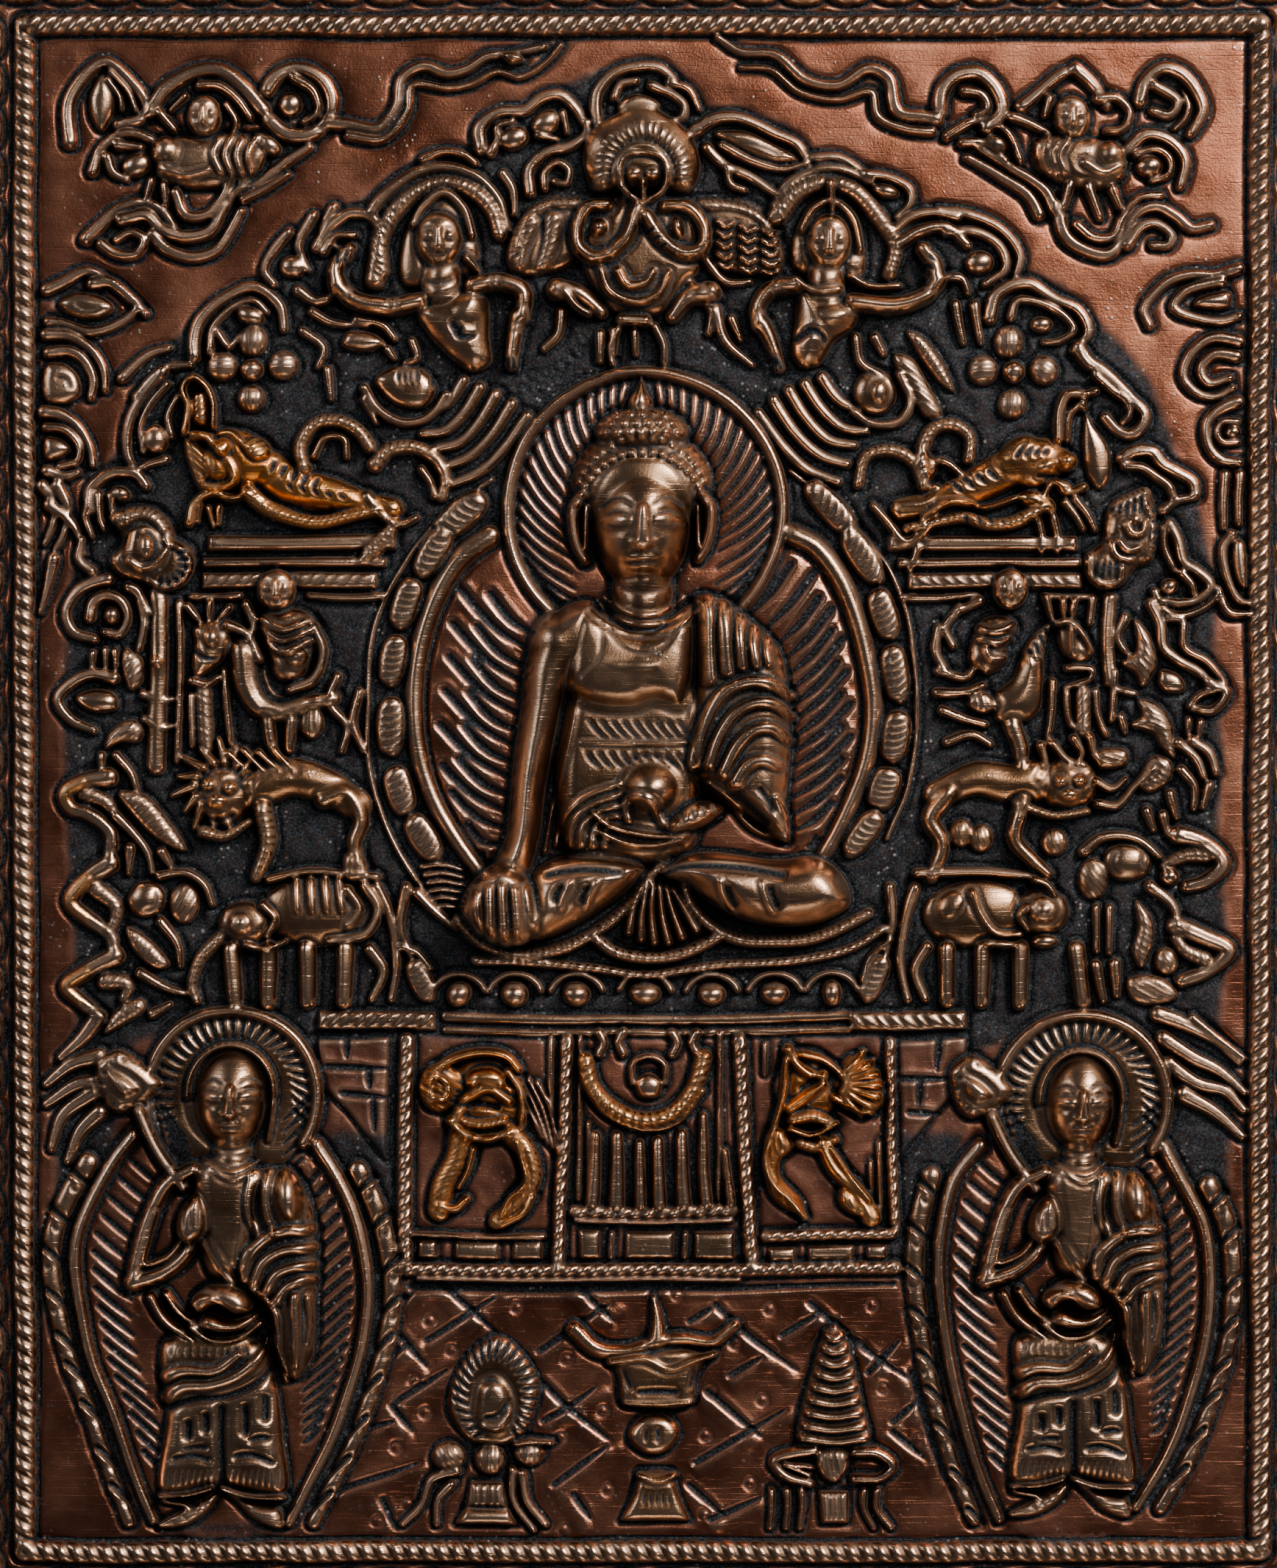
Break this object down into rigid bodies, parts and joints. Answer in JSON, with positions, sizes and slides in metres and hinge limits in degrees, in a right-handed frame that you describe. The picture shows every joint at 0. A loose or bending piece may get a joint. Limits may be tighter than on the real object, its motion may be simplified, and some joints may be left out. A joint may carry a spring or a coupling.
{
  "type": "repousse votive plaque",
  "caption": "Rectangular copper plaque in hammered relief: a seated figure on a lotus throne between two monks, beasts, scrolls and offerings, inside a rope border.",
  "frame": {"origin": "centre of the footprint, on the surface the plaque lies on", "axes": "+Z out of the relief's face, +Y towards the figures' heads, +X to the right seen from the front"},
  "size_m": [0.3, 0.36, 0.0182],
  "materials": {
    "copper": "hammered copper, polished high points and dark patina in the recesses"
  },
  "bodies": {
    "root": {"plaque_sheet": "copper"}
  },
  "joints": []
}
